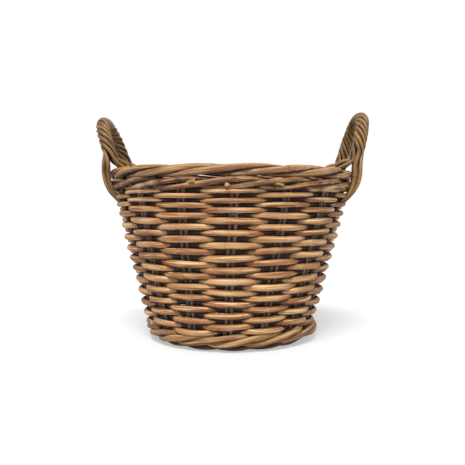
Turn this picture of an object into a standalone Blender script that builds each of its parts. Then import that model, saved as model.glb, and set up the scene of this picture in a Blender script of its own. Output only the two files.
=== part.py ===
"""Round wicker log basket: a cane body woven on paired stakes, with two roped ear handles.

Metres, +Z up. The origin is the middle of the basket on the floor. The handles are on +X and -X.
Angles turn about +Z from the front, which is -Y, towards +X.
The weave has an odd number of stake pairs, so one cane wound round and round passes in front of a
stake on one round and behind it on the next.
"""

import math

import bpy
from mathutils import Matrix, Vector

# Overall sizes.
RIM_DIAMETER = 0.400  # across the outside of the rope border
BASE_DIAMETER = 0.267  # across the outside of the weave, where its slope meets the floor
BODY_HEIGHT = 0.276  # from the floor to the top of the border
HANDLE_TOPS = {"left": 0.3612, "right": 0.3725}  # the handles are hand made, and one stands higher
WALL_TWIST = 0.07  # angle that the stakes turn through from the floor to the border, in radians
HANDLE_LEG_SPACING = 0.124  # between the middles of a handle's two legs
HANDLE_LEANS = {"left": 0.37, "right": 0.26}  # outward travel for each unit of height
HANDLE_OFFSETS = {"left": -0.001, "right": 0.009}  # outwards from the border's middle to its legs

# Canes.
STAKE_PAIRS = 15
STAKE_DIAMETER = 0.0065
BASE_STICK_DIAMETER = 0.0070
WEAVER_DIAMETER = 0.0080
UPSETT_DIAMETER = 0.0070
TOP_WALE_DIAMETER = 0.0060
FOOT_DIAMETER = 0.0045
BORDER_DIAMETER = 0.0096
BOW_DIAMETER = 0.0080
WRAP_DIAMETER = 0.0070

# Fits.
GAP = 0.0004  # between canes that rest on each other
PAIR_GAP = 0.0006  # between the two stakes of a pair
END_GAP = 0.0012  # from the end of a weaver to the middle of the stake that hides it

# Layout.
SIDING_CANES = 3
STAKES_PER_WALE = 3  # a wale cane passes in front of two stakes and behind one
STAKES_PER_TWIST = 3  # one full twist of a border strand spans this many stakes
STAKE_STEPS = 3  # straight lengths in a stake's run up the wall
BEND_POINTS = 4  # in the bend at a stake's foot
ARCH_STEPS = 14  # straight lengths in a handle's arch
BORDER_POINTS_PER_TWIST = 9
FOOT_POINTS_PER_TWIST = 8
BASE_LANES = 4  # sticks in each layer of the cross under the base
BASE_GROUPS = (  # stakes that the sticks run out to: front, right, back and left
    range(-1, 2),
    range(2, 6),
    range(6, 10),
    range(10, 14),
)
BASE_WEAVE_START = 0.052  # radius of the first round of the base
TAIL_LENGTH = 0.036  # how far a stake runs into the base
STAKE_BEND = 0.010  # radius of the bend where a stake turns up
BOW_TUCK = 0.060  # how far a handle's bow runs down inside the wall, below the border
BOW_CLEAR_OF_BORDER = 0.026  # from the border's top to the first wrap of the rope
WRAP_TURNS = 3
WRAP_POINTS_PER_TURN = 10
TAIL_CLEARANCE = 0.0035  # between a wrap strand's tail and its neighbour or the bow
WRAP_TAIL_DROP = 0.024  # how far the wrap tails run down the outside, below the border

FOOT_SHAVING = 0.0008  # planed off the foot so that the basket stands flat

STEP = 2 * math.pi / STAKE_PAIRS
REACH = (STAKE_DIAMETER + WEAVER_DIAMETER) / 2 + GAP  # stake line to the middle of a weaver
PAIR_OFFSET = (STAKE_DIAMETER + PAIR_GAP) / 2  # pair's middle to the middle of either stake


def rope_half(strand_diameter, strands, points):
    """Radius of a rope of touching strands, and the distance from its axis to a strand's middle.

    A strand runs straight between the points of its twist, so it lies that much further out.
    """
    lay = (strand_diameter + GAP) / (2 * math.sin(math.pi / strands))
    lay /= math.cos(math.pi / points)
    return lay + strand_diameter / 2, lay


FOOT_HALF, FOOT_LAY = rope_half(FOOT_DIAMETER, 2, FOOT_POINTS_PER_TWIST)
BORDER_HALF, BORDER_LAY = rope_half(BORDER_DIAMETER, 3, BORDER_POINTS_PER_TWIST)

# Wale heights are shares of the least spacing between its canes.
WALE_OUTER, WALE_INNER = 0.75, 0.35


def wale_half(diameter):
    return WALE_OUTER * (diameter + GAP) + diameter / 2


# Levels, from the floor up.
BASE_LEVEL = 2 * FOOT_HALF + GAP + STAKE_DIAMETER / 2
UPSETT_LEVEL = BASE_LEVEL + (STAKE_DIAMETER + UPSETT_DIAMETER) / 2 + GAP
SIDING_BOTTOM = UPSETT_LEVEL + wale_half(UPSETT_DIAMETER) + GAP + WEAVER_DIAMETER / 2
BORDER_LEVEL = BODY_HEIGHT - BORDER_HALF
TOP_WALE_LEVEL = BORDER_LEVEL - BORDER_HALF - GAP - wale_half(TOP_WALE_DIAMETER)
SIDING_TOP = TOP_WALE_LEVEL - wale_half(TOP_WALE_DIAMETER) - GAP - WEAVER_DIAMETER / 2
SIDING_ROUNDS = int((SIDING_TOP - SIDING_BOTTOM) / (WEAVER_DIAMETER + GAP))
SIDING_PITCH = (SIDING_TOP - SIDING_BOTTOM) / SIDING_ROUNDS

BORDER_RADIUS = RIM_DIAMETER / 2 - BORDER_HALF
FLOOR_STAKE_RADIUS = BASE_DIAMETER / 2 - REACH - WEAVER_DIAMETER / 2
WALL_SLOPE = (BORDER_RADIUS - FLOOR_STAKE_RADIUS) / BORDER_LEVEL


def stake_radius(z):
    """Radius of the ring of stakes at height z."""
    return FLOOR_STAKE_RADIUS + WALL_SLOPE * z


def polar(radius, angle, z):
    return Vector((radius * math.sin(angle), -radius * math.cos(angle), z))


def material(name, colour, roughness):
    made = bpy.data.materials.new(name)
    made.use_nodes = True
    shader = made.node_tree.nodes["Principled BSDF"]
    shader.inputs["Base Color"].default_value = (*colour, 1)
    shader.inputs["Roughness"].default_value = roughness
    shader.inputs["Metallic"].default_value = 0.0
    return made


def twisted(point):
    """Where the wall's slight twist takes a point: its stakes lean sideways, all one way."""
    turn = WALL_TWIST * (point.z / BODY_HEIGHT - 0.5)
    return Matrix.Rotation(turn, 3, "Z") @ point


def cane_curve(name, points, diameter, closed=False, sides=6):
    """A round cane along a line of points, as curve data that several objects may share."""
    curve = bpy.data.curves.new(name, "CURVE")
    curve.dimensions = "3D"
    curve.bevel_depth = diameter / 2
    curve.bevel_resolution = (sides - 4) // 2
    curve.use_fill_caps = not closed
    spline = curve.splines.new("POLY")
    spline.points.add(len(points) - 1)
    for target, point in zip(spline.points, points):
        target.co = (*point, 1)
    spline.use_cyclic_u = closed
    return curve


def place(name, curve, finish, turn=0.0):
    """An object of that curve, turned about +Z."""
    if not curve.materials:
        curve.materials.append(finish)
    made = bpy.data.objects.new(name, curve)
    made.rotation_euler.z = turn
    bpy.context.collection.objects.link(made)
    return made


def arc(centre, radius, start, end, count):
    """Points of an arc in a plane of (out, up), with angles from the outward direction."""
    angles = [start + (end - start) * i / (count - 1) for i in range(count)]
    return [
        (centre[0] + radius * math.cos(a), centre[1] + radius * math.sin(a))
        for a in angles
    ]


# --- Stakes -------------------------------------------------------------------------------------


def wall_profile(low, high):
    """Even steps of (radius, z) up the wall."""
    levels = [low + (high - low) * i / STAKE_STEPS for i in range(STAKE_STEPS + 1)]
    return [(stake_radius(z), z) for z in levels]


def front_points(profile, offset):
    """Points of a profile of (radius, z), standing at the front, offset sideways."""
    return [twisted(Vector((offset, -radius, z))) for radius, z in profile]


def build_stakes(finish):
    top = BORDER_LEVEL - BORDER_HALF - GAP
    lean = math.atan(WALL_SLOPE)
    level_bend = STAKE_BEND * (1 - math.sin(lean))
    bend_top = BASE_LEVEL + level_bend
    centre = (
        stake_radius(bend_top) - STAKE_BEND * math.cos(lean),
        BASE_LEVEL + STAKE_BEND,
    )
    bend = arc(centre, STAKE_BEND, -math.pi / 2, -lean, BEND_POINTS)
    tail = (centre[0] - TAIL_LENGTH, BASE_LEVEL)
    main = cane_curve(
        "stake",
        front_points([tail, *bend, *wall_profile(bend_top, top)[1:]], -PAIR_OFFSET),
        STAKE_DIAMETER,
    )
    foot = BASE_LEVEL + (BASE_STICK_DIAMETER + STAKE_DIAMETER) / 2 + GAP
    side = cane_curve(
        "bye_stake", front_points(wall_profile(foot, top), PAIR_OFFSET), STAKE_DIAMETER
    )
    for i in range(STAKE_PAIRS):
        place(f"stake_{i + 1:02d}", main, finish, i * STEP)
        place(f"bye_stake_{i + 1:02d}", side, finish, i * STEP)
    return tail[0]


# --- Weaving ------------------------------------------------------------------------------------


def clear_span(offsets, reach):
    """How far before and after a stake a weaver stays level, to clear the canes at those offsets."""
    return min(offsets) - reach / 2, max(offsets) + reach / 2


def randing(first, last, spot, span):
    """Points of a cane woven over one stake and under the next, both ends hidden under a stake.

    spot(stake, offset, side) gives the point beside a stake, and span(stake) the level stretch.
    """
    points = []
    for stake in range(first, last + 1):
        low, high = span(stake)
        side = 1 if (stake - first) % 2 else -1
        points.append(spot(stake, END_GAP if stake == first else low, side))
        points.append(spot(stake, -END_GAP if stake == last else high, side))
    return points


def build_siding(finish):
    """One spiral from the back, a cane after another, each starting behind a stake."""
    total = SIDING_ROUNDS * STAKE_PAIRS
    start = STAKE_PAIRS // 2 + 1
    joints = [start + 2 * int(total * i / SIDING_CANES / 2) for i in range(SIDING_CANES + 1)]

    def spot(stake, offset, side):
        z = SIDING_BOTTOM + SIDING_PITCH * (stake - start) / STAKE_PAIRS
        radius = stake_radius(z)
        return twisted(polar(radius + side * REACH, stake * STEP + offset / radius, z))

    def span(stake):
        return clear_span((-PAIR_OFFSET, PAIR_OFFSET), REACH)

    for i, (first, last) in enumerate(zip(joints, joints[1:])):
        points = randing(first, last, spot, span)
        name = f"siding_weaver_{i + 1}"
        place(name, cane_curve(name, points, WEAVER_DIAMETER), finish)


def build_wale(name, level, diameter, finish):
    """Three canes that take turns to pass behind a stake, each one a closed ring."""
    reach = (STAKE_DIAMETER + diameter) / 2 + GAP
    low, high = clear_span((-PAIR_OFFSET, PAIR_OFFSET), reach)
    spacing = diameter + GAP
    heights = (
        (-WALE_OUTER, -WALE_INNER),
        (WALE_INNER, WALE_OUTER),
        (WALE_OUTER, -WALE_OUTER),
    )
    points = []
    for stake in range(STAKE_PAIRS):
        step = stake % STAKES_PER_WALE
        side = -1 if step == STAKES_PER_WALE - 1 else 1
        for offset, height in zip((low, high), heights[step]):
            z = level + height * spacing
            radius = stake_radius(level)
            angle = stake * STEP + offset / radius
            points.append(twisted(polar(stake_radius(z) + side * reach, angle, z)))
    curve = cane_curve(name, points, diameter, closed=True)
    for i in range(STAKES_PER_WALE):
        place(f"{name}_{i + 1}", curve, finish, i * STEP)


# --- Ropes --------------------------------------------------------------------------------------


def rope_points(radius, level, lay, turns, twists, points_per_twist):
    """One strand of a rope laid in a level ring, lowest at the front, closing after those turns."""
    count = twists * points_per_twist
    made = []
    for i in range(count):
        around = 2 * math.pi * turns * i / count
        twist = 2 * math.pi * i / points_per_twist - math.pi / 2
        made.append(
            polar(
                radius + lay * math.cos(twist), around, level + lay * math.sin(twist)
            )
        )
    return made


def build_border(finish):
    twists = STAKE_PAIRS // STAKES_PER_TWIST
    points = rope_points(
        BORDER_RADIUS, BORDER_LEVEL, BORDER_LAY, 1, twists, BORDER_POINTS_PER_TWIST
    )
    curve = cane_curve("border_strand", points, BORDER_DIAMETER, closed=True)
    for i in range(STAKES_PER_TWIST):
        place(f"border_strand_{i + 1}", curve, finish, i * STEP)


def build_foot(finish):
    """One cane laid twice round and twisted on itself, planed level where it stands."""
    points = rope_points(
        stake_radius(0),
        FOOT_HALF - FOOT_SHAVING,
        FOOT_LAY,
        2,
        STAKE_PAIRS,
        FOOT_POINTS_PER_TWIST,
    )
    rope = place(
        "foot_rope", cane_curve("foot_rope", points, FOOT_DIAMETER, closed=True), finish
    )
    mesh = bpy.data.meshes.new_from_object(
        rope.evaluated_get(bpy.context.evaluated_depsgraph_get())
    )
    bpy.data.objects.remove(rope)
    foot = place("foot_rope", mesh, finish)
    depth = 2 * FOOT_DIAMETER
    bpy.ops.mesh.primitive_cube_add(size=1, location=(0, 0, -depth / 2))
    plane = bpy.context.object
    plane.name = "floor_plane"
    plane.scale = (RIM_DIAMETER, RIM_DIAMETER, depth)
    plane.hide_render = True
    plane.display_type = "WIRE"
    cut = foot.modifiers.new("plane_level", "BOOLEAN")
    cut.operation = "DIFFERENCE"
    cut.object = plane


# --- Base ---------------------------------------------------------------------------------------


def build_base(finish, tail_start):
    """Two crossed layers of sticks, fanned out to the stakes and bound by one spiral weaver."""
    reach = (BASE_STICK_DIAMETER + WEAVER_DIAMETER) / 2 + GAP
    beside_tail = -PAIR_OFFSET + (STAKE_DIAMETER + BASE_STICK_DIAMETER) / 2 + PAIR_GAP
    stick_end = stake_radius(BASE_LEVEL) - STAKE_DIAMETER / 2 - UPSETT_DIAMETER - 3 * GAP
    lane = BASE_STICK_DIAMETER + 3 * GAP
    cross = BASE_LANES * lane / 2 + lane / 2
    layer = BASE_STICK_DIAMETER / 2 + GAP / 2

    def spoke(radius, stake):
        """A point of the base beside the tail of that stake."""
        sideways = Vector((math.cos(stake * STEP), math.sin(stake * STEP), 0))
        return polar(radius, stake * STEP, BASE_LEVEL) + beside_tail * sideways

    def run_out(stake):
        """From the cross to the stake's foot."""
        return [spoke(BASE_WEAVE_START - reach, stake), spoke(stick_end, stake)]

    # Each lane of the cross runs out to a stake on one side and to another on the far side.
    front, right, back, left = BASE_GROUPS
    for i in range(BASE_LANES):
        across = (i - (BASE_LANES - 1) / 2) * lane
        lower = [
            *reversed(run_out(right[i])),
            Vector((cross, across, BASE_LEVEL - layer)),
            Vector((-cross, across, BASE_LEVEL - layer)),
            *run_out(left[-1 - i]),
        ]
        upper = [
            *reversed(run_out(back[-1 - i])),
            Vector((across, cross, BASE_LEVEL + layer)),
            Vector((across, -cross, BASE_LEVEL + layer)),
        ]
        if i < len(front):
            upper += run_out(front[i])
        for layer_name, points in (("lower", lower), ("upper", upper)):
            name = f"base_stick_{layer_name}_{i + 1}"
            points = [twisted(point) for point in points]
            place(name, cane_curve(name, points, BASE_STICK_DIAMETER), finish)

    pitch = WEAVER_DIAMETER + GAP
    last_radius = (
        stake_radius(UPSETT_LEVEL) - (STAKE_DIAMETER + WEAVER_DIAMETER) / 2
        - UPSETT_DIAMETER - 3 * GAP
    )
    last = 2 * int((last_radius - BASE_WEAVE_START) / pitch * STAKE_PAIRS / 2)

    def radius_at(stake):
        return BASE_WEAVE_START + pitch * stake / STAKE_PAIRS

    def spot(stake, offset, side):
        radius = radius_at(stake)
        angle = stake * STEP + offset / radius
        return twisted(polar(radius, angle, BASE_LEVEL + side * reach))

    def span(stake):
        if radius_at(stake) + WEAVER_DIAMETER < tail_start:
            return clear_span((beside_tail,), reach)
        return clear_span((-PAIR_OFFSET, beside_tail), reach)

    points = randing(0, last, spot, span)
    place("base_weaver", cane_curve("base_weaver", points, WEAVER_DIAMETER), finish)


# --- Handles ------------------------------------------------------------------------------------


def build_handle(side_name, finish):
    """A bent bow tucked inside the wall, and strands twisted round it and tucked outside."""
    turn = math.pi / 2 if side_name == "right" else -math.pi / 2
    top = HANDLE_TOPS[side_name]
    wrap_lay = (BOW_DIAMETER + WRAP_DIAMETER) / 2 + 2 * GAP
    wrap_lay /= math.cos(math.pi / WRAP_POINTS_PER_TURN)
    rope = wrap_lay + WRAP_DIAMETER / 2
    half_span = HANDLE_LEG_SPACING / 2
    leg_turn = math.asin(half_span / BORDER_RADIUS)
    start_z = BODY_HEIGHT + BOW_CLEAR_OF_BORDER
    bow_top = top - rope
    arch_rise = bow_top - start_z

    def spot(out, along, z):
        """A point given by its distance out along the handle's side, along the rim, and height."""
        return Vector((along, -out, z))

    # The bow's arch stands in a plane that leans outwards.
    lean = HANDLE_LEANS[side_name]
    foot_out = BORDER_RADIUS * math.cos(leg_turn) + HANDLE_OFFSETS[side_name]

    def arch_point(angle):
        z = bow_top - arch_rise + arch_rise * math.sin(angle)
        return spot(
            foot_out + lean * (z - BORDER_LEVEL), -half_span * math.cos(angle), z
        )

    axis = [arch_point(math.pi * i / ARCH_STEPS) for i in range(ARCH_STEPS + 1)]

    # Inside the border the bow keeps to the inner face of the wall.
    clear = BORDER_HALF + BOW_DIAMETER / 2 + GAP
    inner_gap = REACH + WEAVER_DIAMETER / 2 + 2 * GAP + BOW_DIAMETER / 2

    def tuck_profile():
        low = BORDER_LEVEL - BOW_TUCK
        under = BORDER_LEVEL - BORDER_HALF
        yield stake_radius(low) - inner_gap, low
        yield stake_radius(under) - inner_gap, under
        for degrees in (180, 150, 120):
            a = math.radians(degrees)
            yield BORDER_RADIUS + clear * math.cos(a), BORDER_LEVEL + clear * math.sin(a)

    def ring_point(radius, leg, z, along=0.0):
        a = leg * leg_turn + along / radius
        return spot(radius * math.cos(a), radius * math.sin(a), z)

    tuck_in = [ring_point(radius, -1, z) for radius, z in tuck_profile()]
    tuck_out = [ring_point(radius, 1, z) for radius, z in reversed(list(tuck_profile()))]
    bow = cane_curve(
        f"{side_name}_handle_bow", [*tuck_in, *axis, *tuck_out], BOW_DIAMETER
    )
    place(f"{side_name}_handle_bow", bow, finish, turn)

    # The strands follow the leaning plane of the arch, so its normal never turns.
    normal = Vector((0, -1, -lean)).normalized()
    lengths = [0.0]
    for a, b in zip(axis, axis[1:]):
        lengths.append(lengths[-1] + (b - a).length)
    count = WRAP_TURNS * WRAP_POINTS_PER_TURN

    def along_axis(share):
        """Point and direction at that share of the axis."""
        distance = share * lengths[-1]
        i = max(k for k in range(len(axis) - 1) if lengths[k] <= distance)
        part = (distance - lengths[i]) / (lengths[i + 1] - lengths[i])
        return axis[i].lerp(axis[i + 1], part), (axis[i + 1] - axis[i]).normalized()

    def tail_profile(side):
        """A strand's tail from its end, up past the wall and over the border, outside or inside."""
        around = BORDER_HALF + WRAP_DIAMETER / 2 + 2 * GAP
        low = BORDER_LEVEL - BORDER_HALF - WRAP_TAIL_DROP
        under = BORDER_LEVEL - BORDER_HALF
        skin = REACH + (WEAVER_DIAMETER + WRAP_DIAMETER) / 2 + 2 * GAP
        yield stake_radius(low) + side * skin, low
        yield stake_radius(under) + side * skin, under
        for degrees in (-15, 20, 55):
            a = math.radians(degrees)
            yield (
                BORDER_RADIUS + side * around * math.cos(a),
                BORDER_LEVEL + around * math.sin(a),
            )

    # Two strands come up outside the border, on either side of the leg, and one comes up inside.
    outside_spacing = WRAP_DIAMETER + TAIL_CLEARANCE
    beside_bow = (BOW_DIAMETER + WRAP_DIAMETER) / 2 + TAIL_CLEARANCE
    starts = [
        (30, 1, 0.4 * outside_spacing),
        (135, -1, beside_bow),
        (270, 1, -0.6 * outside_spacing),
    ]
    for strand, (degrees, side, fan) in enumerate(starts):
        phase = math.radians(degrees)
        spiral = []
        for i in range(count + 1):
            centre, direction = along_axis(i / count)
            across = direction.cross(normal)
            angle = phase - 2 * math.pi * WRAP_TURNS * i / count
            spiral.append(
                centre + wrap_lay * (math.cos(angle) * normal + math.sin(angle) * across)
            )
        first = [ring_point(r, -1, z, fan) for r, z in tail_profile(side)]
        last = [ring_point(r, 1, z, -fan) for r, z in tail_profile(side)]
        name = f"{side_name}_handle_wrap_{strand + 1}"
        place(
            name,
            cane_curve(name, [*first, *spiral, *reversed(last)], WRAP_DIAMETER),
            finish,
            turn,
        )


def main():
    for old in list(bpy.data.objects):
        bpy.data.objects.remove(old)
    weaver = material("weaver_cane", (0.42, 0.25, 0.11), 0.5)
    stake = material("stake_cane", (0.16, 0.12, 0.10), 0.6)
    border = material("border_cane", (0.40, 0.26, 0.12), 0.5)
    handle = material("handle_cane", (0.38, 0.25, 0.11), 0.45)
    tail_start = build_stakes(stake)
    build_base(weaver, tail_start)
    build_foot(border)
    build_wale("upsett_wale", UPSETT_LEVEL, UPSETT_DIAMETER, border)
    build_siding(weaver)
    build_wale("top_wale", TOP_WALE_LEVEL, TOP_WALE_DIAMETER, border)
    build_border(border)
    for side_name in HANDLE_TOPS:
        build_handle(side_name, handle)


main()
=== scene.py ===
"""Looks of the round wicker log basket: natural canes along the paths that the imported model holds.

Metres, +Z up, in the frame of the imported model. Angles turn about +Z from the front, which is -Y.
Every cane is one tube with its own thickness, knuckles, cut ends and tone.
"""

import math

import bpy
import numpy as np
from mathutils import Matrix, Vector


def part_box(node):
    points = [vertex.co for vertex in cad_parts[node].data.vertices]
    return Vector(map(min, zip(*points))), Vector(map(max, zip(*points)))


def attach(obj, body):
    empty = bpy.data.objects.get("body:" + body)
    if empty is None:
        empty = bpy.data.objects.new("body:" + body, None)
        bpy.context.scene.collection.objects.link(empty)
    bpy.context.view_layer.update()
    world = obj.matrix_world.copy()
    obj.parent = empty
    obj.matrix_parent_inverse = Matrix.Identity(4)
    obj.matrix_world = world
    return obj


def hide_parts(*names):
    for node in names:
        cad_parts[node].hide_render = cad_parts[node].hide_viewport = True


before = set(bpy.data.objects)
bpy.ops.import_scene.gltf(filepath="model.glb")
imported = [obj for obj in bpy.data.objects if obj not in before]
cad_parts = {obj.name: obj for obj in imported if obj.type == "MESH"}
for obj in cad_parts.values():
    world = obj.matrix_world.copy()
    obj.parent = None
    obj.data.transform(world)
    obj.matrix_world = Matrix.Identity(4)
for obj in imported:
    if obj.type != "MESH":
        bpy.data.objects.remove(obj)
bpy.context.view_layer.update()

TAU = 2 * math.pi
BODY = "root"

# How the basket is woven.
STAKE_PAIRS = 15
STEP = TAU / STAKE_PAIRS
WALE_PERIOD = 3  # a wale cane passes two stakes outside and one inside
BORDER_TWISTS = 5
WALL_TWIST = 0.07  # angle that the stakes turn through from the floor to the border
EARLY_STAKES = 12  # how many stakes before its first full round the siding starts, behind the wale
STAKE_BEND = 0.010  # about the radius of a stake's turn from the base into the wall
STAKE_TAIL = 0.046  # how far a stake's tail runs into the base
SIDING_PITCH = 0.00868  # height of one round of the siding
PRESSED_PITCH = 0.0066  # height of one round where the border's weight has packed them
PRESSED_FROM = 0.211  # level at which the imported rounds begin
PRESSED_TO = 0.2405  # level of the last round, against the top wale
BASE_LANES = 4
BASE_PITCH = 0.0084
BASE_GAP = 0.0004  # between the crossed layers. Sticks lie three of it apart, and two off a tail
BASE_SPREAD = 0.080  # radius at which a stick has reached its place beside a stake's tail
BASE_END = 0.004  # how far a stick runs on past the weave
BASE_WEAVE_START = 0.052
BASE_WEAVE_PAST = 0.0035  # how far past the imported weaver's edge the base weaver's middle runs
BASE_GROUPS = (range(-1, 2), range(2, 6), range(6, 10), range(10, 14))  # front, right, back, left
UPSETT_DROP = 0.0030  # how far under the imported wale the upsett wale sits
UPSETT_SPACING = 0.0084  # scale of its canes' rise and fall
UPSETT_TILT = 0.0022  # how much higher it sits at the right than in the middle
UPSETT_BULGE = (math.radians(76), 0.006)  # where one stroke stands off the wall, and how far
TOP_WALE_DEPTH = 0.0272  # from the border's top down to the top wale's middle
TOP_WALE_SPACING = 0.0076
ROPE_INSET = 0.0013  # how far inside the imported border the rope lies
FOOT_INSET = 0.0020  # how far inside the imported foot's middle its ring is drawn
HANDLE_STRANDS = 6
HANDLE_PITCH = 0.066  # length of one turn of the handle's twist
HANDLE_LEANS = {"left": 0.37, "right": 0.26}  # outward travel for each unit of height
HANDLE_OFFSETS = {"left": -0.001, "right": 0.009}  # outwards from the border's middle to the legs
CORE_OUTSIDE = {"left": False, "right": True}  # which side of the border the bow's tails take
HANDLE_SPREAD = {"left": 0.0046, "right": 0.0060}  # from the outermost tail in to its neighbours
HANDLE_STANDOFF = {"left": 0.0185, "right": 0.0215}  # border's middle to the tails that go round it
HANDLE_SET_IN = 0.0005  # how far in from there each whole handle stands
HANDLE_START = 0.012  # from the border's top up to where the arch begins
HANDLE_FULLNESS = 0.88  # 1 is a half ellipse, and less is squarer
HANDLE_EASE = 0.030  # length over which the twist slackens, at each leg
HANDLE_FAN = 0.0072  # along the rim, from a leg's middle to the strands at its sides
TAILS_MEET = 0.036  # height over the border's middle at which outer tails run into the arch

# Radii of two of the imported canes.
PACKED_WEAVER_R = 0.004
PACKED_BOW_R = 0.004

# Thicknesses of the real canes, as radii, and how far out they lie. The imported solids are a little
# thinner, to stay apart.
STAKE_R = 0.0030
PAIR_OFFSET = 0.0038
FLOAT_R = 0.0051  # where a siding cane lies in front of a stake
CROSSING_R = 0.0046  # where it dives between its neighbours
HIDDEN_R = 0.0065  # where it lies behind a stake
FLOAT_REACH = 0.0070  # from the middle of the wall out to a cane that lies in front of a stake
HIDDEN_REACH = 0.0078  # and in to one that lies behind it
CROSSING_REACH = 0.0012  # and out to one that passes from one face to the other
UPSETT_R = 0.0047
TOP_WALE_R = 0.0040
BORDER_R = 0.0050
BORDER_LAY_OUT, BORDER_LAY_UP = 0.0060, 0.0047  # from the rope's middle to its strands' middles
FOOT_R = 0.0024
BASE_WEAVER_R = 0.0041
BASE_STICK_R = 0.0035
HANDLE_CORE_R = 0.0042
HANDLE_STRAND_R = 0.0034
HANDLE_PRESS = 0.0003  # how far the strands press into the core
CORE_PRESS = 0.0012  # how far a core's outer tails press into the border
INNER_FACE = 0.0092  # from the middle of the wall in to the face that inner tails lie against
TAIL_TUCK = 0.041  # from the border's middle down to where outer tails go into the wall
SLACK = 0.0001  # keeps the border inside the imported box
ARCH_SLACK = 0.0004  # and the handles

# How uneven the weave is: ripples up and down, lifts in and out, and the stakes' sideways drift.
# The siding's rounds also share waves: (height, waves in a round, radians moved on each round).
ROUND_WAVES = ((0.0009, 2, 0.5), (0.0007, 5, -0.6))
CANE_RIPPLE = 0.00034
CANE_LIFT = 0.0004
WALE_RIPPLE = 0.0005
WALE_LIFT = 0.0003
STAKE_DRIFT = 0.0006
ROPE_UNEVEN = 0.13  # the border's twist, in radians
ROPE_BULGE = 0.04  # and its bulges, as a share

# Where canes begin to be rubbed and lit, and where they are fully so. Short of that they are painted
# grey and in painted shade.
OUTER_FACE = (-0.0022, 0.0014)  # from a cane's middle, outwards
WALL_PROUD = (0.0006, 0.0040)  # from the middle of the wall, outwards or inwards
BASE_PROUD = (0.0002, 0.0036)  # from the middle of the base, up or down
ROPE_PROUD = (0.0048, 0.0098)  # from the middle of the border's rope
HANDLE_PROUD = (0.0080, 0.0108)  # from the middle of a handle
UNDERSIDE_SHADE = (0.0012, 0.0046)  # under a cane's middle, where it is painted darker as shade
BORDER_SHADOW = (0.222, 0.250)  # height at which the border's painted shadow on the wall begins

# Mesh.
SIDES = 12
RING_SPACING = 0.0032
KNUCKLE_SPREAD = 0.0016  # how far a knuckle's ridge reaches along the cane
KNUCKLE_GAP = (0.085, 0.240)  # least and most length between knuckles
KNUCKLE_RISE = 0.05  # this and the next three are shares of the cane's radius
THICKNESS_CHANGE = 0.022
OVAL = 0.045
THREE_SIDED = 0.018
CHAMFER, CHAMFER_SHARE = 0.0006, 0.8  # a cut end's, along the cane, and the radius that it leaves

# The photograph's view and its light.
CAMERA_AT = (0, -1.0, 0.2201)
CAMERA_PITCH, CAMERA_ROLL, CAMERA_YAW = math.radians(2.81), -0.0059, 0.0025
CAMERA_LENS = 46.2
KEY_STRENGTH, KEY_WIDTH, KEY_COLOUR = 5.1, math.radians(24), (1.0, 0.985, 0.955)
KEY_TURN = (math.radians(33), 0, math.radians(-8))
FLOOR_GREY, FLOOR_GLOW = 0.27, 0.44


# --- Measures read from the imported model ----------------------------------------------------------


def low(node):
    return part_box(node)[0]


def high(node):
    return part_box(node)[1]


def mid_level(node):
    return (low(node).z + high(node).z) / 2


FOOT_TOP = high("foot_rope").z
FLOOR_R = high("foot_rope").x - FOOT_TOP / 2
BORDER_TOP = high("border_strand_1").z
BORDER_HALF = (BORDER_TOP - low("border_strand_1").z) / 2
BORDER_LEVEL = BORDER_TOP - BORDER_HALF
BORDER_RING = high("border_strand_1").x - BORDER_HALF
SLOPE = (BORDER_RING - FLOOR_R) / BORDER_LEVEL
SIDING_LEVEL = low("siding_weaver_1").z + PACKED_WEAVER_R
UPSETT_LEVEL = mid_level("upsett_wale_1")
BASE_LEVEL = mid_level("base_weaver")
ROPE_RING = BORDER_RING - ROPE_INSET
ROPE_LEVEL = BORDER_TOP - BORDER_R - BORDER_LAY_UP - SLACK
LEG_SPAN = (high("left_handle_bow").y - low("left_handle_bow").y) / 2 - PACKED_BOW_R


def stake_radius(z):
    return FLOOR_R + SLOPE * z


def polar(radius, angle, z):
    """Points at those radii, angles and heights, as rows."""
    radius, angle, z = np.broadcast_arrays(radius, angle, z)
    return np.stack([radius * np.sin(angle), -radius * np.cos(angle), z], axis=1)


def twisted(points):
    """Where the wall's slight twist takes points: its stakes lean sideways, all one way."""
    points = np.asarray(points, float)
    turn = WALL_TWIST * (points[:, 2] / BORDER_TOP - 0.5)
    c, s = np.cos(turn), np.sin(turn)
    x, y = points[:, 0], points[:, 1]
    return np.stack([c * x - s * y, s * x + c * y, points[:, 2]], axis=1)


def smoothstep(low_edge, high_edge, x):
    t = np.clip((np.asarray(x, float) - low_edge) / (high_edge - low_edge), 0, 1)
    return t * t * (3 - 2 * t)


# --- How worn and how lit each spot is painted: 1 where it stands proud, rubbed and lit, 0 where it hides in painted shade ---


def facing_wear_and_shade(depth, core_depth, proud):
    """How worn and how lit vertices at that depth are painted, on canes whose middles are at
    core_depth, on either face; painted shade where they lie back.
    """
    outward = smoothstep(*OUTER_FACE, depth - core_depth)
    return np.maximum(
        outward * smoothstep(*proud, depth),
        (1 - outward) * smoothstep(*proud, -depth),
    )


def wall_wear_and_shade(points, cores):
    depth, core_depth = (
        np.hypot(p[:, 0], p[:, 1]) - stake_radius(p[:, 2]) for p in (points, cores)
    )
    # What hangs below a cane's middle is painted darker: painted shade.
    below = smoothstep(*UNDERSIDE_SHADE, cores[:, 2] - points[:, 2])
    # The top of the wall, under the border, is painted darker too: the border's painted shadow.
    border_shadow = smoothstep(*BORDER_SHADOW, points[:, 2])
    # Lit and rubbed where the wall's canes stand proud; grey and painted shade where they lie back in
    # the weave.
    proud = facing_wear_and_shade(depth, core_depth, WALL_PROUD)
    return proud * (1 - 0.62 * below) * (1 - 0.34 * border_shadow)


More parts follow.
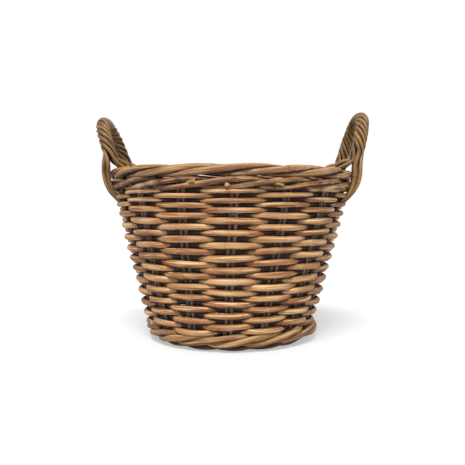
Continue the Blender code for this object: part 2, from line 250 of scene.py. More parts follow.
def border_wear_and_shade(points, cores):
    # Lit and rubbed where a strand stands out from the rope; grey and painted shade in the rope's
    # grooves.
    away = np.hypot(points[:, 0], points[:, 1]) - ROPE_RING
    # Painted shade under the middle of each strand.
    below = smoothstep(*UNDERSIDE_SHADE, cores[:, 2] - points[:, 2])
    # The rope lies a little flat, so heights count for more.
    proud = smoothstep(*ROPE_PROUD, np.hypot(away, (points[:, 2] - ROPE_LEVEL) * 1.15))
    return proud * (1 - 0.5 * below)


def base_wear_and_shade(points, cores):
    # Lit and rubbed where the sticks and weaver stand proud of the base; grey and painted shade where
    # they lie back.
    return facing_wear_and_shade(points[:, 2] - BASE_LEVEL, cores[:, 2] - BASE_LEVEL, BASE_PROUD)


def plain_wear(points, cores):
    """Half worn and lit all over, the same everywhere."""
    return np.full(len(points), 0.5)


# --- Canes ----------------------------------------------------------------------------------------


def wander(rng, t, wavelength):
    """A smooth random line of about unit size, which changes over that wavelength of t."""
    total = np.zeros_like(t)
    for k in range(3):
        length = wavelength / (1 + 0.83 * k)
        total += np.sin(TAU * t / length + rng.uniform(0, TAU)) / (1 + k)
    return total / 1.3


def smooth_line(points, spacing=0.002):
    """A dense centripetal Catmull-Rom curve through a few points."""
    p = np.asarray(points, float)
    p = np.vstack([2 * p[0] - p[1], p, 2 * p[-1] - p[-2]])
    knots = np.concatenate([[0], np.cumsum(np.sqrt(np.linalg.norm(np.diff(p, axis=0), axis=1)))])
    made = []
    for i in range(1, len(p) - 2):
        t0, t1, t2, t3 = knots[i - 1 : i + 3]
        count = max(2, int(np.linalg.norm(p[i + 1] - p[i]) / spacing))
        t = np.linspace(t1, t2, count, endpoint=False)[:, None]
        a1 = (t1 - t) / (t1 - t0) * p[i - 1] + (t - t0) / (t1 - t0) * p[i]
        a2 = (t2 - t) / (t2 - t1) * p[i] + (t - t1) / (t2 - t1) * p[i + 1]
        a3 = (t3 - t) / (t3 - t2) * p[i + 1] + (t - t2) / (t3 - t2) * p[i + 2]
        b1 = (t2 - t) / (t2 - t0) * a1 + (t - t0) / (t2 - t0) * a2
        b2 = (t3 - t) / (t3 - t1) * a2 + (t - t1) / (t3 - t1) * a3
        made.append((t2 - t) / (t2 - t1) * b1 + (t - t1) / (t2 - t1) * b2)
    made.append(p[-2][None])
    return np.vstack(made)


def frames_along(path):
    """Directions along a path, and two normals that turn with it as little as they can."""
    tangent = np.gradient(path, axis=0)
    tangent /= np.linalg.norm(tangent, axis=1)[:, None]
    first = np.cross(tangent[0], [0.0, 0.0, 1.0])
    if np.linalg.norm(first) < 0.2:
        first = np.cross(tangent[0], [1.0, 0.0, 0.0])
    normals = np.empty_like(path)
    normal = first / np.linalg.norm(first)
    for i, direction in enumerate(tangent):
        normal = normal - direction * (normal @ direction)
        normal /= np.linalg.norm(normal)
        normals[i] = normal
    return tangent, normals, np.cross(tangent, normals)


def cane(name, path, radius, rng, material, nodes, wear_and_shade=plain_wear, sides=SIDES,
         closed=False, knuckles=True, floor=None):
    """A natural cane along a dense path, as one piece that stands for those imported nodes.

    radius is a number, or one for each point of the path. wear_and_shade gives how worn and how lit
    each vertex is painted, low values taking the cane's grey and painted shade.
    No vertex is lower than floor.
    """
    steps = np.linalg.norm(np.diff(path, axis=0), axis=1)
    length_at = np.concatenate([[0], np.cumsum(steps)])
    length = length_at[-1]
    radius = np.broadcast_to(radius, length_at.shape)

    stations = list(np.linspace(0, length, max(3, int(length / RING_SPACING)), endpoint=not closed))
    marks = []
    at = rng.uniform(0.3, 1.0) * KNUCKLE_GAP[0]
    while knuckles and at < length - 0.01:
        marks.append(at)
        stations += [at + k * KNUCKLE_SPREAD * 0.45 for k in (-2, -1, 0, 1, 2)]
        at += rng.uniform(*KNUCKLE_GAP)
    stations = np.unique(np.round(stations, 6))
    keep = np.concatenate([[True], np.diff(stations) > 0.0004])
    stations = stations[keep & (stations >= 0) & (stations <= length)]

    centre = np.stack([np.interp(stations, length_at, path[:, k]) for k in range(3)], axis=1)
    size = np.interp(stations, length_at, radius)
    ridge = np.zeros_like(stations)
    for mark in marks:
        ridge += np.exp(-(((stations - mark) / KNUCKLE_SPREAD) ** 2))
    size = size * (1 + KNUCKLE_RISE * ridge + THICKNESS_CHANGE * wander(rng, stations, 0.055))

    tangent, side, up = frames_along(centre)
    if closed:
        tangent = np.roll(centre, -1, axis=0) - np.roll(centre, 1, axis=0)
        tangent /= np.linalg.norm(tangent, axis=1)[:, None]
        up = np.tile([0.0, 0.0, 1.0], (len(centre), 1))
        side = np.cross(tangent, up)
        side /= np.linalg.norm(side, axis=1)[:, None]
        up = np.cross(side, tangent)
    angles = np.arange(sides) / sides * TAU
    reach = size[:, None] * (
        1
        + OVAL * np.cos(2 * angles[None] + 2 * wander(rng, stations, 0.12)[:, None])
        + THREE_SIDED * np.sin(3 * angles[None] + 3 * wander(rng, stations, 0.07)[:, None])
    )
    rings = (
        centre[:, None]
        + (reach * np.cos(angles))[..., None] * side[:, None]
        + (reach * np.sin(angles))[..., None] * up[:, None]
    )
    if floor is not None:
        rings[..., 2] = np.maximum(rings[..., 2], floor)
    count = len(stations)
    vertices = rings.reshape(-1, 3)
    cores = np.repeat(centre, sides, axis=0)
    along = np.repeat(stations, sides)
    straight = np.stack(
        [(reach * np.cos(angles)).ravel(), (reach * np.sin(angles)).ravel(), along], axis=1
    )
    here = np.arange(count if closed else count - 1)[:, None] * sides
    after = (here + sides) % (count * sides)
    j = np.arange(sides)
    k = (j + 1) % sides
    corners = (here + j, here + k, after + k, after + j)
    faces = np.stack([corner.ravel() for corner in corners], axis=1).tolist()
    ridge_all = np.repeat(ridge, sides)
    cut = np.zeros(len(vertices))
    if not closed:
        # A cut end is a flat disc with a small chamfer, and takes the end-grain colour.
        extra, extra_straight = [], []
        for end, outward in ((0, -1), (count - 1, 1)):
            ring = rings[end]
            base = len(vertices) + len(extra)
            tip = outward * tangent[end] * CHAMFER
            extra += list(centre[end] + CHAMFER_SHARE * (ring - centre[end]) + tip)
            shrink = [CHAMFER_SHARE, CHAMFER_SHARE, 1]
            extra_straight += list(straight[end * sides : end * sides + sides] * shrink)
            for a in range(sides):
                b = (a + 1) % sides
                quad = [end * sides + a, base + a, base + b, end * sides + b]
                faces.append(quad if outward < 0 else quad[::-1])
            disc = [base + a for a in range(sides)]
            faces.append(disc[::-1] if outward < 0 else disc)
        vertices = np.vstack([vertices, extra])
        cores = np.vstack([cores, np.repeat(centre[[0, -1]], len(extra) // 2, axis=0)])
        straight = np.vstack([straight, extra_straight])
        cut = np.concatenate([cut, np.ones(len(extra))])
        ridge_all = np.concatenate([ridge_all, np.zeros(len(extra))])

    mesh = bpy.data.meshes.new(name)
    mesh.from_pydata(vertices.tolist(), [], faces)
    mesh.shade_smooth()
    tone = rng.normal(0, 1, 3).clip(-1.8, 1.8)
    # Each cane shows its own stretch of the grain.
    values = {
        "straight": straight + [0, 0, rng.uniform(0, 50)],
        "tone": np.tile(tone, (len(vertices), 1)),
        # How worn and lit each vertex is painted, low in painted shade, then the knuckle ridges and
        # the cut ends.
        "state": np.stack([wear_and_shade(vertices, cores), ridge_all, cut], axis=1),
    }
    for key, value in values.items():
        layer = mesh.attributes.new(key, "FLOAT_VECTOR", "POINT")
        layer.data.foreach_set("vector", np.asarray(value, np.float32).ravel())
    mesh.materials.append(material)
    piece = bpy.data.objects.new(name, mesh)
    bpy.context.collection.objects.link(piece)
    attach(piece, BODY)
    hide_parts(*nodes)
    return piece


# --- Materials ------------------------------------------------------------------------------------


class Nodes:
    """Short ways to write a material's node tree."""

    def __init__(self, name):
        self.material = bpy.data.materials.new(name)
        self.material.use_nodes = True
        self.tree = self.material.node_tree
        self.shader = self.tree.nodes["Principled BSDF"]

    def put(self, socket, value):
        if isinstance(value, bpy.types.NodeSocket):
            self.tree.links.new(value, socket)
        else:
            socket.default_value = value

    def attribute(self, name):
        node = self.tree.nodes.new("ShaderNodeAttribute")
        node.attribute_name = name
        return node.outputs["Vector"]

    def split(self, vector):
        node = self.tree.nodes.new("ShaderNodeSeparateXYZ")
        self.put(node.inputs[0], vector)
        return node.outputs

    def math(self, operation, a, b, c=None):
        node = self.tree.nodes.new("ShaderNodeMath")
        node.operation = operation
        self.put(node.inputs[0], a)
        self.put(node.inputs[1], b)
        if c is not None:
            self.put(node.inputs[2], c)
        return node.outputs[0]

    def scaled(self, vector, factors):
        node = self.tree.nodes.new("ShaderNodeVectorMath")
        node.operation = "MULTIPLY"
        self.put(node.inputs[0], vector)
        node.inputs[1].default_value = factors
        return node.outputs[0]

    def noise(self, vector, detail, roughness=0.5):
        """Noise over a vector that is scaled already."""
        node = self.tree.nodes.new("ShaderNodeTexNoise")
        self.put(node.inputs["Vector"], vector)
        node.inputs["Scale"].default_value = 1.0
        node.inputs["Detail"].default_value = detail
        node.inputs["Roughness"].default_value = roughness
        return node.outputs["Fac"]

    def range(self, value, from_low, from_high, to_low=0.0, to_high=1.0):
        node = self.tree.nodes.new("ShaderNodeMapRange")
        node.interpolation_type = "SMOOTHSTEP"
        self.put(node.inputs["Value"], value)
        for key, number in zip(
            ("From Min", "From Max", "To Min", "To Max"), (from_low, from_high, to_low, to_high)
        ):
            node.inputs[key].default_value = number
        return node.outputs["Result"]

    def mix(self, factor, a, b):
        node = self.tree.nodes.new("ShaderNodeMix")
        node.data_type = "RGBA"
        self.put(node.inputs[0], factor)
        self.put(node.inputs[6], a)
        self.put(node.inputs[7], b)
        return node.outputs[2]

    def bump(self, height, strength, distance, normal=None):
        node = self.tree.nodes.new("ShaderNodeBump")
        self.put(node.inputs["Height"], height)
        node.inputs["Strength"].default_value = strength
        node.inputs["Distance"].default_value = distance
        if normal is not None:
            self.put(node.inputs["Normal"], normal)
        return node.outputs[0]


def rgb(red, green, blue):
    """A colour from 0-255 display values."""
    def linear(c):
        c /= 255
        return c / 12.92 if c <= 0.04045 else ((c + 0.055) / 1.055) ** 2.4

    return (linear(red), linear(green), linear(blue), 1.0)


def cane_material(name, skin, honey, russet, bloom, shade, ends, grey, roughness=0.5):
    """Peeled cane: fibres and blotches along it, and grey with painted shade where it hides in the
    weave.

    skin is the usual colour, honey the lighter streaks, russet the darker ones, bloom the pale
    patches, shade the grey and painted shade of the recesses, also used for specks, knuckle rings and
    pores, and ends the cut ends. grey is how far shade takes over.
    """
    n = Nodes(name)
    straight = n.attribute("straight")
    tone = n.split(n.attribute("tone"))
    rubbed_and_lit, ridge, cut = n.split(n.attribute("state"))

    fibre = n.noise(n.scaled(straight, (1000, 1000, 22)), detail=3, roughness=0.6)
    streak = n.noise(n.scaled(straight, (420, 420, 13)), detail=2)
    blotch = n.noise(n.scaled(straight, (110, 110, 60)), detail=3, roughness=0.65)
    patch = n.noise(n.scaled(straight, (40, 40, 17)), detail=2)
    speck = n.noise(n.scaled(straight, (800, 800, 300)), detail=2)

    lightness = n.math("MULTIPLY_ADD", tone[0], 0.075, patch)
    body = n.mix(n.range(lightness, 0.36, 0.60), russet, skin)
    body = n.mix(n.math("MULTIPLY", n.range(streak, 0.46, 0.66), 0.9), body, honey)
    body = n.mix(n.math("MULTIPLY", n.range(fibre, 0.50, 0.30), 0.6), body, russet)
    body = n.mix(n.math("MULTIPLY", n.range(patch, 0.56, 0.72), 0.5), body, bloom)

    # The cane's grey that never wears off, in patches along some canes, and in the recesses, where it
    # is also painted shade.
    shown = n.math("MULTIPLY_ADD", n.math("SUBTRACT", blotch, 0.5), 1.3, rubbed_and_lit)
    shown = n.math("MULTIPLY_ADD", n.math("SUBTRACT", fibre, 0.5), 0.7, shown)
    shown = n.math("MULTIPLY_ADD", tone[1], -0.08, shown)
    body = n.mix(n.math("MULTIPLY", n.range(shown, 0.70, 0.22), grey), body, shade)
    body = n.mix(n.math("MULTIPLY", n.range(speck, 0.60, 0.72), 0.55), body, shade)

    # A knuckle has a thin dark ring.
    body = n.mix(n.math("MULTIPLY", n.range(ridge, 0.70, 0.98), 0.35), body, shade)
    pores = n.noise(n.scaled(straight, (2200, 2200, 60)), detail=1)
    grain = n.mix(n.range(pores, 0.52, 0.66), ends, shade)
    body = n.mix(n.range(cut, 0.35, 0.65), body, grain)

    n.put(n.shader.inputs["Base Color"], body)
    rough = n.range(fibre, 0.25, 0.75, roughness - 0.08, roughness + 0.14)
    n.put(n.shader.inputs["Roughness"], rough)
    # Less specular where the cane is grey and in painted shade.
    n.put(n.shader.inputs["Specular IOR Level"], n.range(shown, 0.3, 0.8, 0.10, 0.34))
    soft = n.bump(blotch, 0.25, 0.0010)
    fine = n.bump(fibre, 0.35, 0.00035, soft)
    n.put(n.shader.inputs["Normal"], n.bump(ridge, 0.5, 0.0006, fine))
    return n.material


def make_materials():
    """The same peeled cane in five finishes."""
    # The grey of the recesses, which is also their painted shade.
    shade = rgb(54, 42, 43)
    bloom = rgb(176, 143, 117)
    ends = rgb(164, 136, 106)
    return {
        "weaver": cane_material(
            "weaver_cane", rgb(150, 110, 69), rgb(192, 157, 111), rgb(118, 72, 38), bloom, shade,
            ends, grey=0.95,
        ),
        "stake": cane_material(
            "stake_cane", rgb(115, 95, 82), rgb(142, 118, 99), rgb(88, 68, 57), rgb(128, 110, 104),
            rgb(62, 52, 52), ends, grey=0.8, roughness=0.6,
        ),
        "border": cane_material(
            "border_cane", rgb(122, 86, 49), rgb(164, 129, 83), rgb(92, 54, 28), bloom, shade,
            ends, grey=0.95,
        ),
        "handle": cane_material(
            "handle_cane", rgb(100, 72, 34), rgb(136, 106, 58), rgb(72, 44, 17),
            rgb(132, 104, 68), rgb(32, 21, 11), ends, grey=0.98, roughness=0.46,
        ),
        "foot": cane_material(
            "foot_cane", rgb(84, 60, 44), rgb(110, 80, 58), rgb(62, 44, 34), rgb(110, 86, 70),
            rgb(40, 32, 30), ends, grey=0.9, roughness=0.58,
        ),
    }


# --- The basket's parts ---------------------------------------------------------------------------


def build_stakes(material):
    """Paired uprights. One of each bends into the base, and the other is pushed in beside it."""
    level = low("stake_01").z + STAKE_R
    top = BORDER_LEVEL - BORDER_HALF * 0.5
    tail = stake_radius(level) - STAKE_TAIL
    for i in range(STAKE_PAIRS):
        rng = np.random.default_rng(100 + i)
        angle = i * STEP
        out = np.array([math.sin(angle), -math.cos(angle), 0])
        across = np.array([math.cos(angle), math.sin(angle), 0])
        foot = low(f"bye_stake_{i + 1:02d}").z + 0.001
        bent = [
            (tail, level),
            (stake_radius(level) - 1.6 * STAKE_BEND, level),
            (stake_radius(level) - 0.45 * STAKE_BEND, level + 0.12 * STAKE_BEND),
            (stake_radius(level + 0.8 * STAKE_BEND), level + 0.8 * STAKE_BEND),
        ]
        for name, offset, start in (
            (f"stake_{i + 1:02d}", -PAIR_OFFSET, bent),
            (f"bye_stake_{i + 1:02d}", PAIR_OFFSET, [(stake_radius(foot), foot)]),
        ):
            rise = [(stake_radius(z), z) for z in (0.05, 0.09, 0.13, 0.17, 0.21, top)]
            points = [radius * out + offset * across + [0, 0, z] for radius, z in start + rise]
            path = smooth_line(twisted(points))
            drift = STAKE_DRIFT * wander(rng, path[:, 2], 0.16)
            path = path + drift[:, None] * across
            size = STAKE_R * rng.uniform(0.93, 1.08)
            cane(name, path, size, rng, material, [name], sides=10)


def weave(u):
    """In and out of the stakes: -1 inside at even u, 1 outside at odd u, and flat at both."""
    x = math.pi * u
    return -(np.cos(x) - 0.05 * np.cos(3 * x)) / 0.95


def siding_rise(u, pressed_u):
    """Height above the first round, and height of a round there. The last rounds are pressed."""
    past = u - pressed_u
    ease = 12.0  # about how many stakes it takes the pitch to change
    ramp = (past + np.sqrt(past**2 + ease**2)) / 2
    less = (SIDING_PITCH - PRESSED_PITCH) / STAKE_PAIRS
    slope = (1 + past / np.sqrt(past**2 + ease**2)) / 2
    return SIDING_PITCH * u / STAKE_PAIRS - less * ramp, SIDING_PITCH - STAKE_PAIRS * less * slope


def build_siding(material):
    """One spiral over and under the stake pairs, made of many canes joined end to end."""
    rng = np.random.default_rng(7)
    start = STAKE_PAIRS // 2 + 1
    pressed_u = (PRESSED_FROM - SIDING_LEVEL) / SIDING_PITCH * STAKE_PAIRS
    last_u = pressed_u + (PRESSED_TO - PRESSED_FROM) / PRESSED_PITCH * STAKE_PAIRS
    total = 2 * int(last_u / 2)
    edges = [-EARLY_STAKES]
    while edges[-1] < total:
        edges.append(edges[-1] + 2 * int(rng.integers(7, 12)))
    edges[-1] = total
    if edges[-1] - edges[-2] < 6:
        edges.pop(-2)
    for i, (first, last) in enumerate(zip(edges, edges[1:])):
        # The ends rest behind a stake, one just past the other.
        u = np.linspace(first + 0.02, last - 0.02, (last - first) * 24 + 1)
        s = weave(u)
        rise, pitch = siding_rise(u, pressed_u)
        z = SIDING_LEVEL + rise
        tight = pitch / SIDING_PITCH
        around, turn = (start + u) * STEP, u / STAKE_PAIRS
        # Each round follows the one below it, so their ups and downs are nearly the same.
        wave = sum(
            height * np.sin(waves * around + moves * turn) for height, waves, moves in ROUND_WAVES
        )
        level = z + wave + CANE_RIPPLE * wander(rng, u, 2.2) * tight
        thick = 1 + rng.normal(0, 0.05) + 0.035 * wander(rng, u, 6.0)
        full = np.where(s > 0, FLOAT_R, HIDDEN_R)
        size = (CROSSING_R + (full - CROSSING_R) * np.abs(s) ** 1.5) * thick * tight
        reach = np.where(s > 0, FLOAT_REACH, HIDDEN_REACH)
        lift = CANE_LIFT * wander(rng, u, 2.7) * (1 - 0.6 * np.abs(s))
        radius = stake_radius(z) + reach * s + CROSSING_REACH * (1 - s**2) + lift
        path = twisted(polar(radius, around, level))
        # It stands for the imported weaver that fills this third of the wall.
        third = int(np.clip((first + last) / 2 / total * 3, 0, 2))
        node = f"siding_weaver_{third + 1}"
        cane(f"siding_cane_{i + 1:02d}", path, size, rng, material, [node],
             wear_and_shade=wall_wear_and_shade)


def stroke(u):
    """Side and height of a wale cane: outside past stakes 0 and 1 while it rises, inside past 2."""
    v = np.mod(u, WALE_PERIOD)
    side_knots = [-0.25, 0, 0.5, 1.0, 1.25, 1.5, 1.75, 2.0, 2.25, 2.5, 2.75, 3.0]
    side_values = [0.55, 0.95, 1.06, 0.95, 0.55, 0.0, -0.6, -1.0, -0.6, 0.0, 0.55, 0.95]
    rise_knots = [-0.3, 0.0, 0.5, 1.0, 1.3, 2.0, 2.7, 3.0]
    rise_values = [-0.86, -0.62, 0.0, 0.62, 0.86, 0.0, -0.86, -0.62]

    def soft(knots, values):
        """Values between the knots, smoothed over about a third of the way between two stakes."""
        fine = np.linspace(0, WALE_PERIOD, 241)
        coarse = np.interp(fine, knots, values)
        kernel = np.hanning(29)
        kernel /= kernel.sum()
        tiled = np.tile(coarse[:-1], 3)
        eased = np.convolve(tiled, kernel, "same")[240:480]
        return np.interp(v, fine, np.append(eased, eased[0]))

    return soft(side_knots, side_values), soft(rise_knots, rise_values)


def build_wale(name, level, spacing, radius, seed, material, bulge=None, tilt=0.0):
    """Three canes laid one stake apart, each made of shorter canes that end behind a stake.

    bulge is (angle, height): where one stroke stands off the wall, and by how much. tilt is how
    much higher the wale sits at the right than in the middle.
    """
    for strand in range(WALE_PERIOD):
        rng = np.random.default_rng(seed + strand)
        node = f"{name}_{strand + 1}"
        edges = [2, 2 + 3 * int(rng.integers(2, 4)), STAKE_PAIRS + 2]
        for part, (first, last) in enumerate(zip(edges, edges[1:])):
            u = np.linspace(first + 0.03, last - 0.03, (last - first) * 26)
            side, rise = stroke(u)
            angle = (u + strand) * STEP
            ripple = WALE_RIPPLE * wander(rng, u, 2.3)
            z = level + tilt * np.sin(angle) + rise * spacing + ripple
            reach = STAKE_R + radius
            out = stake_radius(z) + side * reach + WALE_LIFT * wander(rng, u, 1.7)
            if bulge:
                off = np.angle(np.exp(1j * (angle - bulge[0]))) / (0.7 * STEP)
                out = out + bulge[1] * np.exp(-(off**2)) * np.clip(side, 0, 1)
            size = radius * (1 + 0.06 * np.clip(side, 0, 1) + rng.normal(0, 0.03))
            path = twisted(polar(out, angle, z))
            cane(f"{node}_cane_{part + 1}", path, size, rng, material, [node],
                 wear_and_shade=wall_wear_and_shade, floor=0.0004)


def build_stubs(material):
    """Cut ends of the wale canes, left showing between the strokes."""
    middle = 0.0062  # from the middle of the wall out to a stub's middle, before it leans out
    stubs = (  # node, angle, height, direction of the tip (around, up, out), radius
        ("top_wale_1", 21.0, 0.2440, (0.024, -0.0060, 0.0060), 0.0034),
        ("top_wale_2", -3.3, 0.2450, (-0.003, 0.0010, 0.0100), 0.0034),
        ("top_wale_3", -16.5, 0.2505, (0.012, 0.0020, 0.0060), 0.0034),
        ("top_wale_1", 62.0, 0.2440, (0.012, -0.0030, 0.0070), 0.0032),
        ("upsett_wale_1", 57.0, 0.0215, (0.016, 0.0035, 0.0060), 0.0036),
        ("upsett_wale_2", 52.0, 0.0330, (0.014, 0.0060, 0.0030), 0.0030),
        ("upsett_wale_3", -63.0, 0.0290, (0.015, 0.0040, 0.0035), 0.0034),
    )
    for i, (node, degrees, level, (around, up, out), radius) in enumerate(stubs):
        rng = np.random.default_rng(700 + i)
        share = np.linspace(-1, 0, 12)
        z = level + up * share
        angle = math.radians(degrees) + around * share / stake_radius(level)
        depth = middle + out * (1 - share**2)
        path = twisted(polar(stake_radius(z) + depth - out * 0.4, angle, z))
        size = radius * (1 + 0.06 * wander(rng, share, 0.5))
        cane(f"cut_end_{i + 1}", path, size, rng, material, [node],
             wear_and_shade=wall_wear_and_shade, knuckles=False)


def build_border(material):
    """Three stout strands twisted into a rope round the rim, lying a little flat."""
    for strand in range(3):
        rng = np.random.default_rng(300 + strand)
        t = np.linspace(0, 1, 900, endpoint=False)

        def cycle(amplitude, waves):
            return sum(
                rng.uniform(0.4, 1.0) * amplitude * np.sin(TAU * k * t + rng.uniform(0, TAU))
                for k in waves
            )

        twist = TAU * BORDER_TWISTS * t - math.pi / 2 + cycle(ROPE_UNEVEN, (2, 3, 5))
        bulge = cycle(ROPE_BULGE, (3, 7, 11))
        out = ROPE_RING + BORDER_LAY_OUT * np.cos(twist)
        z = ROPE_LEVEL + BORDER_LAY_UP * np.sin(twist) * (1 + bulge)
        path = polar(out, TAU * t + strand * STEP, z)
        size = BORDER_R * (0.98 + 0.03 * np.cos(twist) + 0.6 * bulge)
        cane(f"border_rope_{strand + 1}", path, size, rng, material,
             [f"border_strand_{strand + 1}"], wear_and_shade=border_wear_and_shade, closed=True)


def build_foot(material):
    """One thin dark cane laid twice round and twisted on itself, worn level where it stands."""
    rng = np.random.default_rng(401)
    t = np.linspace(0, 1, 2400, endpoint=False)
    half = FOOT_TOP / 2
    lay = half - FOOT_R
    twist = TAU * STAKE_PAIRS * t - math.pi / 2
    out = stake_radius(0) - FOOT_INSET + lay * np.cos(twist)
    path = polar(out, 2 * TAU * t, half + lay * np.sin(twist))
    size = FOOT_R * (1 + 0.05 * np.sin(TAU * 9 * t) + 0.04 * np.sin(TAU * 23 * t + 1))
    cane("foot_twist", path, size, rng, material, ["foot_rope"], closed=True,
         sides=10, floor=0.0)


def build_base(material):
    """Two crossed layers of sticks, fanned out to the stakes and bound by one spiral weaver."""
    level = BASE_LEVEL
    layer = BASE_STICK_R + BASE_GAP / 2
    lane = 2 * BASE_STICK_R + 3 * BASE_GAP
    cross = BASE_LANES * lane / 2 + lane / 2
    outer = high("base_weaver").x + BASE_WEAVE_PAST
    beside = -PAIR_OFFSET + STAKE_R + BASE_STICK_R + 2 * BASE_GAP
    reach = BASE_STICK_R + BASE_WEAVER_R

    def spoke(radius, stake):
        """A point of the base beside the tail of that stake."""
        a = stake * STEP
        return np.array([
            radius * math.sin(a) + beside * math.cos(a),
            -radius * math.cos(a) + beside * math.sin(a),
            level,
        ])

    def run_out(stake):
        radii = (BASE_WEAVE_START - reach, BASE_SPREAD, outer + BASE_END)
        return [spoke(radius, stake) for radius in radii]

    front, right, back, left = BASE_GROUPS
    for i in range(BASE_LANES):
        across = (i - (BASE_LANES - 1) / 2) * lane
        lower = [
            *reversed(run_out(right[i])),
            [cross, across, level - layer], [-cross, across, level - layer],
            *run_out(left[-1 - i]),
        ]
        upper = [
            *reversed(run_out(back[-1 - i])),
            [across, cross, level + layer], [across, -cross, level + layer],
            *(run_out(front[i]) if i < len(front) else []),
        ]
        for seed, key, points in ((500, "lower", lower), (505, "upper", upper)):
            node = f"base_stick_{key}_{i + 1}"
            rng = np.random.default_rng(seed + i)
            cane(f"{node}_cane", smooth_line(twisted(points)), BASE_STICK_R, rng, material, [node],
                 wear_and_shade=base_wear_and_shade, sides=10)

    total = 2 * int((outer - BASE_WEAVE_START) / BASE_PITCH * STAKE_PAIRS / 2)
    parts = 4
    for i in range(parts):
        rng = np.random.default_rng(500 + i)
        first, last = (2 * int(total * k / parts / 2) for k in (i, i + 1))
        u = np.linspace(first + 0.03, last - 0.03, (last - first) * 16)
        radius = BASE_WEAVE_START + BASE_PITCH * u / STAKE_PAIRS
        path = twisted(polar(radius, u * STEP, level + weave(u) * reach))
        cane(f"base_weaver_cane_{i + 1}", path, BASE_WEAVER_R, rng, material, ["base_weaver"],
             wear_and_shade=base_wear_and_shade, sides=10)


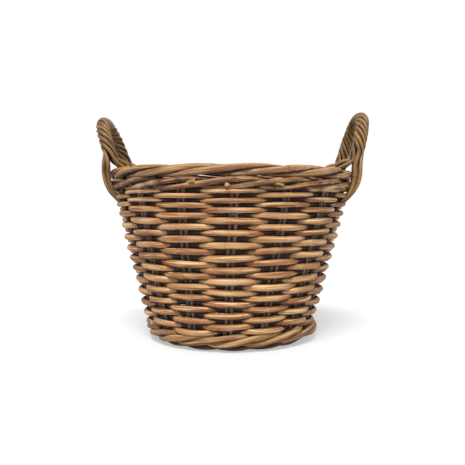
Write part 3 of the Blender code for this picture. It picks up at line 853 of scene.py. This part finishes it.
def build_handle(side_name, material):
    """A bent bow with strands laid round it, which part over the border and tuck into the wall."""
    sign = 1 if side_name == "right" else -1
    lay = HANDLE_CORE_R + HANDLE_STRAND_R - HANDLE_PRESS
    leg_turn = math.asin(LEG_SPAN / BORDER_RING)
    foot_out = BORDER_RING * math.cos(leg_turn) + HANDLE_OFFSETS[side_name] - HANDLE_SET_IN
    lean = HANDLE_LEANS[side_name]
    start_z = BORDER_TOP + HANDLE_START
    arch = high(f"{side_name}_handle_wrap_1").z - lay - HANDLE_STRAND_R - ARCH_SLACK - start_z

    def place(out, along, z):
        """Points from distances out along the handle's side and along the rim."""
        out, along, z = np.broadcast_arrays(out, along, z)
        return np.stack([sign * out, sign * along, z], axis=-1)

    # A leaning arch, a little squarer than a half ellipse.
    t = np.linspace(0, math.pi, 400)
    along = -LEG_SPAN * np.sign(np.cos(t)) * np.abs(np.cos(t)) ** HANDLE_FULLNESS
    z = start_z + arch * np.abs(np.sin(t)) ** HANDLE_FULLNESS
    axis = place(foot_out + lean * (z - BORDER_LEVEL), along, z)
    normal = place(1.0, 0.0, -lean)
    normal = normal / np.linalg.norm(normal)
    steps = np.concatenate([[0], np.cumsum(np.linalg.norm(np.diff(axis, axis=0), axis=1))])
    even = np.linspace(0, steps[-1], 320)
    axis = np.stack([np.interp(even, steps, axis[:, k]) for k in range(3)], axis=1)
    tangent = np.gradient(axis, axis=0)
    tangent /= np.linalg.norm(tangent, axis=1)[:, None]
    across = np.cross(tangent, normal)

    # The twist slackens towards the legs, and each leg ends with the same set of strands outside.
    eased = smoothstep(0, HANDLE_EASE, even) * smoothstep(0, HANDLE_EASE, even[-1] - even)
    rate = 0.15 + 0.85 * eased
    turned = np.concatenate([[0], np.cumsum((rate[1:] + rate[:-1]) / 2 * np.diff(even))])
    spacing = TAU / HANDLE_STRANDS
    whole = round(TAU * turned[-1] / HANDLE_PITCH / spacing) * spacing
    turned *= whole / turned[-1]

    def ring_point(radius, leg, z, along):
        """A point at that radius and height, at a leg, moved that far along the rim."""
        a = leg * leg_turn + along / radius
        return place(radius * math.cos(a), radius * math.sin(a), z)

    def handle_wear_and_shade(points, cores):
        # Lit and rubbed where a strand stands out from the handle; grey and painted shade in the
        # grooves towards its middle.
        away = np.linalg.norm(points[:, None] - axis[None, ::4], axis=2).min(axis=1)
        return smoothstep(*HANDLE_PROUD, away)

    def met(leg):
        """How many of the arch's points, counted from that leg, an outer tail stands in for."""
        above = axis[:, 2] > BORDER_LEVEL + TAILS_MEET
        return np.argmax(above if leg < 0 else above[::-1])

    def inner_tail(leg, fan, clear):
        """Up the inside of the wall and over the border's inner shoulder."""
        points = [
            ring_point(stake_radius(h) - INNER_FACE - clear, leg, h, fan)
            for h in (0.216, 0.236, BORDER_LEVEL - 0.012)
        ]
        for degrees in (180, 140, 105):
            a = math.radians(degrees)
            around = BORDER_HALF + clear
            points.append(ring_point(
                BORDER_RING + around * math.cos(a), leg, BORDER_LEVEL + around * math.sin(a), fan
            ))
        return points

    def outer_tail(leg, fan, standoff, depth):
        """From the tip between the wall's canes, out and up round the outside of the border."""
        tuck = BORDER_LEVEL - TAIL_TUCK - depth
        profile = (
            (stake_radius(tuck) + 0.003, tuck - 0.003, 0.5),
            (stake_radius(tuck) + 0.0105, tuck + 0.005, 0.6),
            (BORDER_RING + 0.50 * standoff, BORDER_LEVEL - 0.027, 0.75),
            (BORDER_RING + 0.86 * standoff, BORDER_LEVEL - 0.013, 0.9),
            (BORDER_RING + standoff, BORDER_LEVEL + 0.002, 1.0),
            (BORDER_RING + 1.01 * standoff, BORDER_LEVEL + 0.014, 1.0),
        )
        return [ring_point(radius, leg, z, fan * share) for radius, z, share in profile]

    rng = np.random.default_rng(600 + sign)
    if CORE_OUTSIDE[side_name]:
        standoff = BORDER_HALF + HANDLE_CORE_R - CORE_PRESS
        tails = [outer_tail(leg, 0, standoff, 0.0) for leg in (-1, 1)]
        trim = met(-1)
    else:
        tails = [inner_tail(leg, 0, HANDLE_CORE_R) for leg in (-1, 1)]
        trim = 0
    middle_part = axis[trim : len(axis) - trim]
    core = smooth_line([*tails[0], *middle_part[:-8:16], middle_part[-1], *tails[1][::-1]])
    cane(f"{side_name}_handle_core", core, HANDLE_CORE_R, rng, material,
         [f"{side_name}_handle_bow"], wear_and_shade=handle_wear_and_shade)

    for k in range(HANDLE_STRANDS):
        rng = np.random.default_rng(620 + 20 * sign + k)
        angle = k * spacing - turned
        swell = lay * (1 + 0.02 * wander(rng, even, 0.05))
        spiral = (
            axis
            + (swell * np.cos(angle))[:, None] * normal
            + (swell * np.sin(angle))[:, None] * across
        )
        # Strands that face outwards at a leg go down outside the border, and the others inside.
        # The middle one of each three lies over its neighbours.
        ends, skipped = [], []
        for index, leg in ((0, -1), (-1, 1)):
            outward, sideways = math.cos(angle[index]), math.sin(angle[index]) * -leg
            fan = sideways * (HANDLE_FAN / math.sin(spacing))
            middle = abs(sideways) < 0.3
            if outward > 0:
                stand = 0.0010 if middle else -HANDLE_SPREAD[side_name]
                skipped.append(met(leg))
                depth = 0.003 if middle else 0.0
                ends.append(outer_tail(leg, fan, HANDLE_STANDOFF[side_name] + stand, depth))
            else:
                skipped.append(0)
                clear = HANDLE_STRAND_R + (2 * HANDLE_CORE_R if middle else 0.0)
                ends.append(inner_tail(leg, fan, clear))
        last = len(even) - 1 - skipped[1]
        middle_part = [*spiral[skipped[0] : last - 3 : 6], spiral[last]]
        path = smooth_line([*ends[0], *middle_part, *ends[1][::-1]])
        size = HANDLE_STRAND_R * rng.uniform(0.98, 1.05)
        cane(f"{side_name}_handle_strand_{k + 1}", path, size, rng, material,
             [f"{side_name}_handle_wrap_{k % 3 + 1}"], wear_and_shade=handle_wear_and_shade)


# --- Setting --------------------------------------------------------------------------------------


def plain(name, colour, roughness, glow):
    """A material of one colour, which also gives off white light of that strength."""
    material = bpy.data.materials.new(name)
    material.use_nodes = True
    shader = material.node_tree.nodes["Principled BSDF"]
    shader.inputs["Base Color"].default_value = colour
    shader.inputs["Roughness"].default_value = roughness
    shader.inputs["Emission Color"].default_value = (1, 1, 1, 1)
    shader.inputs["Emission Strength"].default_value = glow
    return material


def build_setting():
    """A plain pale floor, soft studio light and the camera."""
    floor_mesh = bpy.data.meshes.new("floor")
    reach = 40.0  # far enough for its edge to be out of sight
    corners = [(-reach, -reach, 0), (reach, -reach, 0), (reach, reach, 0), (-reach, reach, 0)]
    floor_mesh.from_pydata(corners, [], [(0, 1, 2, 3)])
    floor = bpy.data.objects.new("floor", floor_mesh)
    # Its glow keeps it as pale as the photograph's ground, and so keeps its shadow faint.
    grey = (FLOOR_GREY, FLOOR_GREY, FLOOR_GREY, 1)
    floor_mesh.materials.append(plain("floor_white", grey, 0.95, FLOOR_GLOW))
    bpy.context.collection.objects.link(floor)
    floor.location.z = -0.0004  # just under the foot, which stands at 0

    world = bpy.data.worlds.new("studio")
    bpy.context.scene.world = world
    world.use_nodes = True
    backdrop = world.node_tree.nodes["Background"]
    backdrop.inputs["Color"].default_value = (1, 1, 1, 1)
    backdrop.inputs["Strength"].default_value = 1.0

    # A wide soft light from above, so far off that it lights the whole floor evenly.
    key = bpy.data.lights.new("key", "SUN")
    key.energy, key.angle, key.color = KEY_STRENGTH, KEY_WIDTH, KEY_COLOUR
    lamp = bpy.data.objects.new("key", key)
    lamp.rotation_euler = KEY_TURN
    bpy.context.collection.objects.link(lamp)

    camera = bpy.data.objects.new("camera", bpy.data.cameras.new("camera"))
    camera.location = CAMERA_AT
    camera.rotation_euler = (math.pi / 2 - CAMERA_PITCH, CAMERA_ROLL, -CAMERA_YAW)
    camera.data.lens = CAMERA_LENS
    camera.data.clip_start = 0.01
    bpy.context.collection.objects.link(camera)
    bpy.context.scene.camera = camera
    bpy.context.scene.view_settings.view_transform = "Standard"


def main():
    materials = make_materials()
    build_stakes(materials["stake"])
    build_base(materials["weaver"])
    build_foot(materials["foot"])
    build_wale("upsett_wale", UPSETT_LEVEL - UPSETT_DROP, UPSETT_SPACING, UPSETT_R, 200,
               materials["border"], bulge=UPSETT_BULGE, tilt=UPSETT_TILT)
    build_siding(materials["weaver"])
    build_wale("top_wale", BORDER_TOP - TOP_WALE_DEPTH, TOP_WALE_SPACING, TOP_WALE_R, 220,
               materials["border"])
    build_stubs(materials["border"])
    build_border(materials["border"])
    for side_name in ("left", "right"):
        build_handle(side_name, materials["handle"])
    build_setting()


main()
